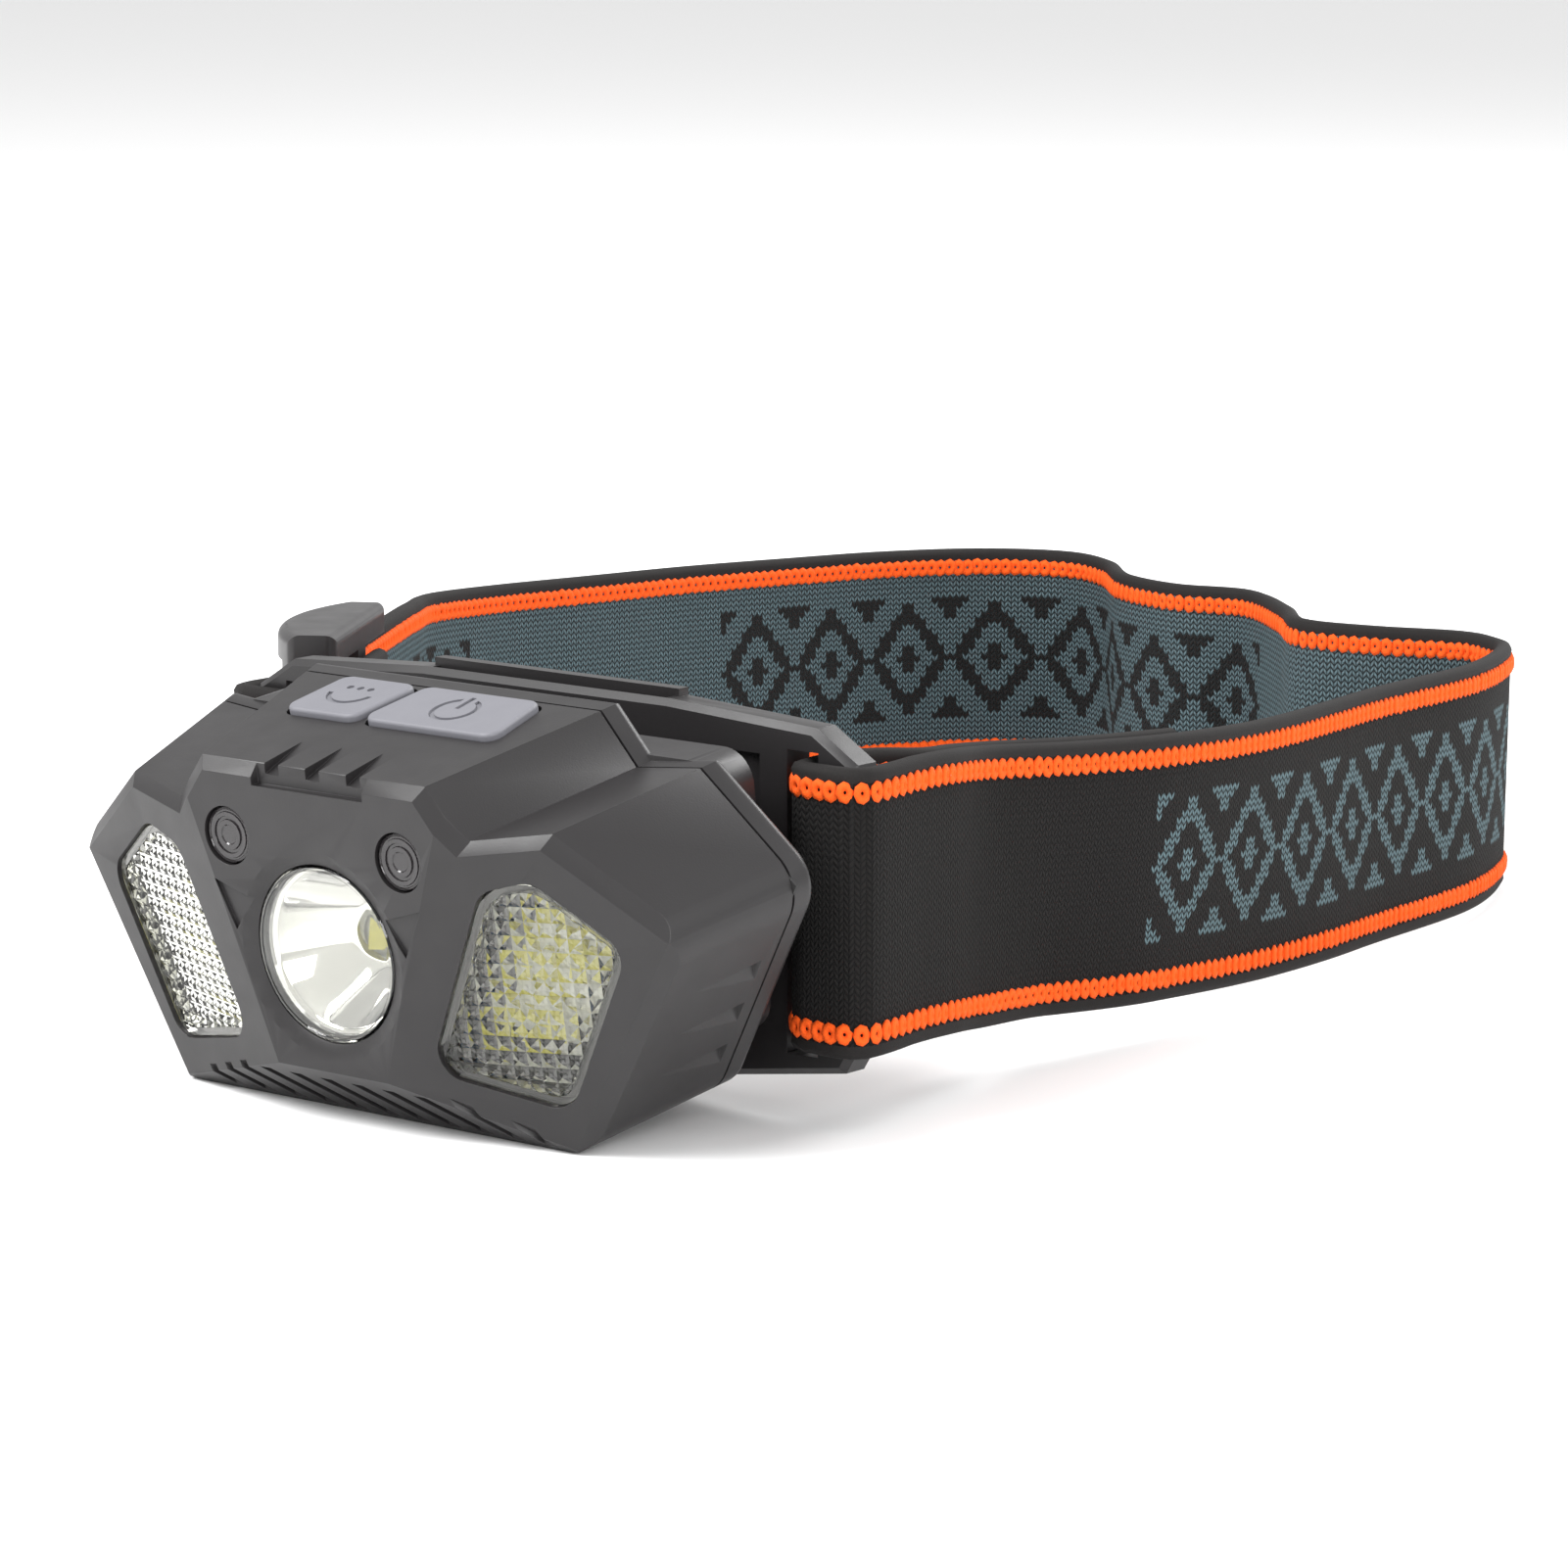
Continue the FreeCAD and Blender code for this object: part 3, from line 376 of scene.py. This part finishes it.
def foreheadPad():
    # closed-cell foam with a pressed channel round its border
    low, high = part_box("forehead_pad")
    bm = bmesh.new()
    bmesh.ops.create_cube(bm, size=1.0)
    bmesh.ops.scale(bm, vec=(high - low) / mm, verts=bm.verts)
    upright = [edge for edge in bm.edges if abs(edge.verts[0].co.y - edge.verts[1].co.y) > 1]
    bmesh.ops.bevel(bm, geom=upright, offset=padShape["corner"], segments=8, profile=0.5,
                    affect="EDGES", material=-1)
    back = max(bm.faces, key=lambda face: face.calc_center_median().y)
    rim = back.edges[:]
    bmesh.ops.bevel(bm, geom=rim, offset=padShape["edge"], segments=4, profile=0.5, affect="EDGES",
                    material=-1)
    back = max(bm.faces, key=lambda face: face.calc_center_median().y)
    for thickness, depth in ((padShape["border"], 0.0), (padShape["channel"] / 2, -padShape["sink"]),
                             (padShape["channel"] / 2, padShape["sink"])):
        bmesh.ops.inset_individual(bm, faces=[back], thickness=thickness, depth=depth,
                                   use_even_offset=True)
    seat = Matrix.Translation((low + high) / 2) @ Matrix.Scale(mm, 4)
    pad = finishPiece("foam_pad", bm, seat, [foam], "bracket", ("forehead_pad",), smooth=50)


foreheadPad()
print("pad made")

# elastic band
band = dict(width=25.0, thick=1.5, rimRadius=0.85, spacing=1.5, chainPitch=1.17, chainHigh=22.95,
            chainLow=2.3, tailShift=19.0)
wale = 0.8                  # one knitted loop along the band, in millimetres
course = 0.6                # and across it
# the diamond lattice, counted in stitches along the band and rows up it
lattice = dict(start=44.0, run=112.0, period=166.0, wide=14.0, first=-8.0, middle=21.0, tall=22.0)

rightTurn = [
    (34.3, 72.4, 3.5), (33.4, 62.0, 4.1), (32.6, 55.0, 4.6), (31.7, 48.6, 5.1), (32.1, 42.2, 5.7),
    (32.6, 38.2, 6.0), (31.0, 34.6, 6.3), (29.6, 32.4, 6.3), (29.3, 30.2, 6.3), (29.3, 27.2, 6.3),
    (29.6, 25.5, 6.3), (30.6, 25.0, 6.3),
    (32.8, 24.95, 6.3), (35.0, 25.0, 6.3), (36.0, 25.6, 6.3), (36.2, 27.2, 6.3), (36.0, 30.0, 6.3)]
loopRoute = [
    (35.6, 33.0, 6.3), (34.8, 39.0, 6.0), (33.4, 46.7, 5.2), (35.0, 57.6, 4.3), (36.2, 70.7, 3.5),
    (34.3, 88.0, 2.5), (28.9, 113.0, 1.6), (25.1, 135.9, 0.8), (19.8, 150.5, 0.5), (15.6, 154.6, 0.5),
    (10.5, 156.2, 0.4), (2.1, 153.6, 0.4), (-6.5, 153.2, 0.4), (-13.8, 160.6, 0.3), (-23.9, 168.4, 0.2),
    (-33.2, 167.8, 0.1), (-42.7, 171.5, 0.0), (-50.5, 178.6, 0.1), (-57.5, 180.2, 0.3),
    (-65.2, 174.1, 0.6), (-70.3, 162.6, 1.0), (-72.9, 148.2, 1.5), (-74.4, 133.4, 2.1), (-74.5, 116.8, 2.8),
    (-73.6, 101.6, 3.6), (-69.5, 86.9, 4.7), (-62.9, 77.0, 5.6), (-56.2, 67.0, 6.2), (-46.1, 50.2, 6.25),
    (-36.8, 34.8, 6.3)]
leftTurn = [
    (-36.2, 31.0, 6.3), (-36.2, 27.2, 6.3), (-36.0, 25.6, 6.3), (-35.0, 25.0, 6.3), (-32.8, 24.95, 6.3),
    (-30.6, 25.0, 6.3), (-29.6, 25.5, 6.3), (-29.3, 27.2, 6.3), (-29.3, 30.2, 6.3), (-29.9, 32.2, 6.3)]


def smoothPath(corners, spacing, start=0.0):
    # an even walk along a Catmull-Rom curve: (distance, point, along, inward)
    points = [Vector(corner) for corner in corners]
    fine = []
    earlier = [points[0]] + points[:-2]
    later = points[2:] + [points[-1]]
    for before, a, b, after in zip(earlier, points[:-1], points[1:], later):
        for i in range(16):
            t = i / 16
            fine.append(0.5 * (2 * a + (b - before) * t + (2 * before - 5 * a + 4 * b - after) * t * t
                               + (3 * a - before - 3 * b + after) * t ** 3))
    fine.append(points[-1])
    length = sum((b - a).length for a, b in zip(fine, fine[1:]))
    count = round(length / spacing)
    path, walked, k = [], 0.0, 0
    for i in range(count + 1):
        target = length * i / count
        while k < len(fine) - 2 and walked + (fine[k + 1] - fine[k]).length < target:
            walked += (fine[k + 1] - fine[k]).length
            k += 1
        step = fine[k + 1] - fine[k]
        path.append((start + target, fine[k] + step * ((target - walked) / step.length)))
    stations = []
    for i, (s, point) in enumerate(path):
        ahead = path[min(i + 1, count)][1] - path[max(i - 1, 0)][1]
        ahead.z = 0
        ahead.normalize()
        stations.append((s, point, ahead, Vector((-ahead.y, ahead.x, 0))))
    return stations


def onStrap(stations, s, n, v, lean=None):
    # the point at distance s along a strap, n inwards and v up from its lower edge
    first, last = stations[0][0], stations[-1][0]
    place = (min(max(s, first), last) - first) / (last - first) * (len(stations) - 1)
    i = min(int(place), len(stations) - 2)
    a, b = stations[i], stations[i + 1]
    f = place - i
    inward = a[3].lerp(b[3], f).normalized()
    sway = lean(s) * (1 - v / band["width"]) if lean else 0.0
    point = a[1].lerp(b[1], f) + inward * (n + sway) + Vector((0, 0, v))
    return point, a[2].lerp(b[2], f).normalized(), inward


def easedStep(x, low, high):
    t = min(max((x - low) / (high - low), 0.0), 1.0)
    return t * t * (3 - 2 * t)


def loopLean(s):
    # the lower edge swings inwards a little beyond the right bar and sways on round the loop
    if s < -band["tailShift"]:     # the sewn end leans with the band it lies on, walked the other way
        return -loopLean(-s - band["tailShift"])
    near = 2.6 * easedStep(s, 12, 24) * (1 - easedStep(s, 40, 75))
    return near + 0.5 * math.sin(s / 17.0) * easedStep(s, 60, 90) * (1 - easedStep(s, 330, 350))


def strapProfile(thick, width, rim):
    # outer face going up, rolled top edge, inner face going down, rolled bottom edge
    outer = [(-thick / 2, v) for v in (1.9, 3.3, 7.0, 12.5, 18.0, 21.7, 23.1)]
    top, bottom = [], []
    for i in range(7):
        turn = math.radians(-120 + 40 * i)
        top.append((rim * math.sin(turn), width - rim + rim * math.cos(turn)))
        bottom.append((-rim * math.sin(turn), rim - rim * math.cos(turn)))
    inner = [(-n, v) for n, v in reversed(outer)]
    return outer + top + inner + bottom


def sweepStrap(stations, profile, lean=None):
    bm = bmesh.new()
    layer = bm.loops.layers.uv.new("along_mm")
    placed = {}
    ring = []
    for n, v in profile:
        vert = bm.verts.new(onStrap(stations, stations[0][0], n, v, lean)[0])
        placed[vert] = (stations[0][0], n, v)
        ring.append(vert)
    bm.faces.new(ring)
    for s, point, ahead, inward in stations[1:]:
        edges = [bm.edges.get((a, b)) for a, b in zip(ring, ring[1:] + ring[:1])]
        made = bmesh.ops.extrude_edge_only(bm, edges=edges)
        fresh = {item for item in made["geom"] if isinstance(item, bmesh.types.BMVert)}
        after = []
        for vert, (n, v) in zip(ring, profile):
            copy = next(edge.other_vert(vert) for edge in vert.link_edges if edge.other_vert(vert) in fresh)
            copy.co = onStrap(stations, s, n, v, lean)[0]
            placed[copy] = (s, n, v)
            after.append(copy)
        ring = after
    bm.faces.new(ring)
    bmesh.ops.recalc_face_normals(bm, faces=bm.faces)
    for face in bm.faces:
        spots = [placed[loop.vert] for loop in face.loops]
        for loop, (s, n, v) in zip(face.loops, spots):
            loop[layer].uv = (s, v)
        middle = sum(v for s, n, v in spots) / len(spots)
        side = sum(n for s, n, v in spots)
        face.material_index = 2 if abs(middle - 12.5) > 11.1 or len(spots) > 4 else (1 if side > 0 else 0)
    return bm


def chainLink():
    # one loop of the chain stitch: a squat ring of thick yarn
    bm = bmesh.new()
    made = bmesh.ops.create_circle(bm, segments=5, radius=0.36)
    turned = Matrix.Translation((0.47, 0, 0)) @ Matrix.Rotation(math.radians(90), 4, "X")
    bmesh.ops.transform(bm, matrix=turned, verts=made["verts"])
    bmesh.ops.spin(bm, geom=bm.edges[:], axis=(0, 0, 1), cent=(0, 0, 0), angle=math.tau, steps=8,
                   use_merge=True)
    bmesh.ops.remove_doubles(bm, verts=bm.verts, dist=1e-5)
    bmesh.ops.scale(bm, vec=(0.98, 1.2, 0.8), verts=bm.verts)
    bmesh.ops.recalc_face_normals(bm, faces=bm.faces)
    mesh = bpy.data.meshes.new("chain_link")
    bm.to_mesh(mesh)
    bm.free()
    return mesh


def chainStitches(bm, stations, sides, heights, lean=None, inset=0.0):
    link = chainLink()
    first, last = stations[0][0] + inset, stations[-1][0] - inset
    count = int((last - first) / band["chainPitch"])
    for side in sides:
        for height in heights:
            for i in range(count):
                s = first + (i + 0.5) * band["chainPitch"]
                wobble = noise.noise(Vector((s * 0.9, height, side)))
                proud = side * (band["thick"] / 2 + 0.03 + 0.05 * wobble)
                point, ahead, inward = onStrap(stations, s, proud, height + 0.12 * wobble, lean)
                frameOut = Matrix((ahead, Vector((0, 0, 1)), inward * side)).transposed().to_4x4()
                tipped = Matrix.Rotation(math.radians(12 + 8 * wobble), 4, "Y")
                twist = tipped @ Matrix.Rotation(0.12, 4, "Z")
                start = len(bm.verts)
                bm.from_mesh(link)
                bm.verts.ensure_lookup_table()
                place = Matrix.Translation(point) @ frameOut @ twist
                bmesh.ops.transform(bm, matrix=place, verts=bm.verts[start:])


def knitted(name, ground, motif, paintedGapShade, lift=1.0):
    # elastic jacquard: rows of small slanted stitches, with a lattice of diamonds in the other yarn, and
    # painted shade darkening the gaps between stitches
    material, tree, shader = newMaterial(name, ground, Roughness=0.85, Specular_IOR_Level=0.25)
    uv = addNode(tree, "UVMap", uv_map="along_mm").outputs[0]
    split = addNode(tree, "SeparateXYZ", {0: uv})
    column = calc(tree, "DIVIDE", split.outputs[0], wale)
    leg = calc(tree, "MULTIPLY", calc(tree, "PINGPONG", column, 0.5), 2.0)
    slant = calc(tree, "MULTIPLY", leg, 0.75)
    row = calc(tree, "ADD", calc(tree, "DIVIDE", split.outputs[1], course), slant)
    off = calc(tree, "ABSOLUTE", calc(tree, "SUBTRACT", calc(tree, "FRACT", row), 0.5))
    strand = calc(tree, "SUBTRACT", 1.0, calc(tree, "MULTIPLY", calc(tree, "MULTIPLY", off, off), 4.0))
    pinch = calc(tree, "MULTIPLY", calc(tree, "MULTIPLY", leg, calc(tree, "SUBTRACT", 1.0, leg)), 4.0)
    height = calc(tree, "MULTIPLY", strand, calc(tree, "POWER", pinch, 0.4))
    # the lattice, stitch by stitch: a run of diamonds, then a plain stretch
    stitch = calc(tree, "SUBTRACT", calc(tree, "FLOOR", column), lattice["start"])
    repeats = calc(tree, "FLOOR", calc(tree, "DIVIDE", stitch, lattice["period"]))
    run = calc(tree, "SUBTRACT", stitch, calc(tree, "MULTIPLY", repeats, lattice["period"]))
    onLoop = calc(tree, "GREATER_THAN", column, lattice["first"])
    inRun = calc(tree, "MULTIPLY", calc(tree, "LESS_THAN", run, lattice["run"]), onLoop)
    within = calc(tree, "SUBTRACT", calc(tree, "MODULO", run, lattice["wide"]), 6.5)
    across = calc(tree, "DIVIDE", calc(tree, "ABSOLUTE", within), lattice["wide"] / 2)
    fromMiddle = calc(tree, "SUBTRACT", calc(tree, "FLOOR", row), lattice["middle"])
    up = calc(tree, "DIVIDE", calc(tree, "ABSOLUTE", fromMiddle), lattice["tall"] / 2)
    reach = calc(tree, "ADD", across, up)
    outline = calc(tree, "LESS_THAN", calc(tree, "ABSOLUTE", calc(tree, "SUBTRACT", reach, 0.84)), 0.17)
    core = calc(tree, "LESS_THAN", reach, 0.3)
    inside = calc(tree, "LESS_THAN", up, 1.02)
    corner = calc(tree, "MULTIPLY", calc(tree, "GREATER_THAN", reach, 1.62), inside)
    drawn = calc(tree, "ADD", calc(tree, "ADD", outline, core), corner, clamp=True)
    shown = calc(tree, "MULTIPLY", drawn, inRun)
    yarn = addNode(tree, "Mix", {0: shown, 6: linear(ground), 7: linear(motif)}, data_type="RGBA")
    place = addNode(tree, "TexCoord").outputs["Object"]
    fibre = addNode(tree, "TexNoise", {"Vector": place, "Scale": 1 / (0.35 * mm), "Detail": 3.0})
    fuzz = fibre.outputs["Fac"]
    light = calc(tree, "ADD", 0.55, calc(tree, "MULTIPLY", fuzz, 0.9))
    tint = addNode(tree, "Mix", {0: 1.0, 6: yarn.outputs[2], 7: light}, data_type="RGBA",
                   blend_type="MULTIPLY")
    # painted shade: where the stitch height drops, the colour darkens towards the last colour given, shade
    # painted into the gaps between stitches
    proud = addNode(tree, "MapRange", {"Value": height, "From Min": 0.2, "From Max": 0.85})
    shade = addNode(tree, "Mix", {0: proud.outputs[0], 6: linear(paintedGapShade), 7: tint.outputs[2]},
                    data_type="RGBA")
    tree.links.new(shade.outputs[2], shader.inputs["Base Color"])
    relief = calc(tree, "ADD", height, calc(tree, "MULTIPLY", fuzz, 0.35))
    bump = addNode(tree, "Bump", {"Height": relief, "Distance": 0.22 * lift * mm, "Strength": 1.0})
    tree.links.new(bump.outputs["Normal"], shader.inputs["Normal"])
    return material


def yarnMaterial(name, hexColour, darker, **sockets):
    # fluffy twisted yarn: fibre-scale noise in colour and relief
    material, tree, shader = newMaterial(name, hexColour, Roughness=0.8, Specular_IOR_Level=0.3, **sockets)
    place = addNode(tree, "TexCoord").outputs["Object"]
    strands = addNode(tree, "TexNoise", {"Vector": place, "Scale": 1 / (0.14 * mm), "Detail": 3.0})
    fibre = strands.outputs["Fac"]
    tone = addNode(tree, "Mix", {0: fibre, 6: linear(darker), 7: linear(hexColour)}, data_type="RGBA")
    tree.links.new(tone.outputs[2], shader.inputs["Base Color"])
    bump = addNode(tree, "Bump", {"Height": fibre, "Distance": 0.05 * mm, "Strength": 0.7})
    tree.links.new(bump.outputs["Normal"], shader.inputs["Normal"])
    return material


# the last colour of each knit is painted shade, put into the gaps between the stitches
outerKnit = knitted("black_knit_grey_motif", "#151312", "#5F757B", "#0B0A0A")
innerKnit = knitted("grey_knit_black_motif", "#5B6F75", "#191615", "#1C2224", lift=1.3)
rolledEdge = yarnMaterial("black_rolled_edge", "#1D1A19", "#100E0E")
orangeYarn = yarnMaterial("orange_yarn", "#FF6414", "#D8480A")

# distances count from where the route leaves the right bar
turnLength = smoothPath(rightTurn + loopRoute[:1], band["spacing"])[-1][0]
wholeBand = smoothPath(rightTurn + loopRoute + leftTurn, band["spacing"], start=-turnLength)
profile = strapProfile(band["thick"], band["width"], band["rimRadius"])
bm = sweepStrap(wholeBand, profile, loopLean)
bandPiece = finishPiece("elastic_band", bm, bandSeat, [outerKnit, innerKnit, rolledEdge], "bracket",
                        ("headband", "band_end_right", "band_end_left"), smooth=60)
bm = bmesh.new()
chainStitches(bm, wholeBand, (-1, 1), (band["chainLow"], band["chainHigh"]), loopLean, inset=0.4)
stitches = finishPiece("orange_chain_stitch", bm, bandSeat, [orangeYarn], "bracket", smooth=180)

returnStrap = [
    (-30.4, 33.6, 6.3), (-31.6, 35.0, 6.3), (-33.4, 37.0, 6.3), (-35.6, 40.3, 6.3),
    (-38.2, 44.6, 6.3), (-40.6, 48.6, 6.3)]
returnPath = smoothPath(returnStrap, band["spacing"], start=wholeBand[-1][0] + 1.5)
bm = sweepStrap(returnPath, profile)
returnPiece = finishPiece("return_strap", bm, bandSeat, [outerKnit, innerKnit, rolledEdge], "slider",
                          ("slider_loop",), smooth=60)
bm = bmesh.new()
chainStitches(bm, returnPath, (-1, 1), (band["chainLow"], band["chainHigh"]), inset=0.4)
returnStitches = finishPiece("return_strap_stitch", bm, bandSeat, [orangeYarn], "slider",
                             smooth=180)
print("band:", round(wholeBand[-1][0] - wholeBand[0][0], 1), "mm long")
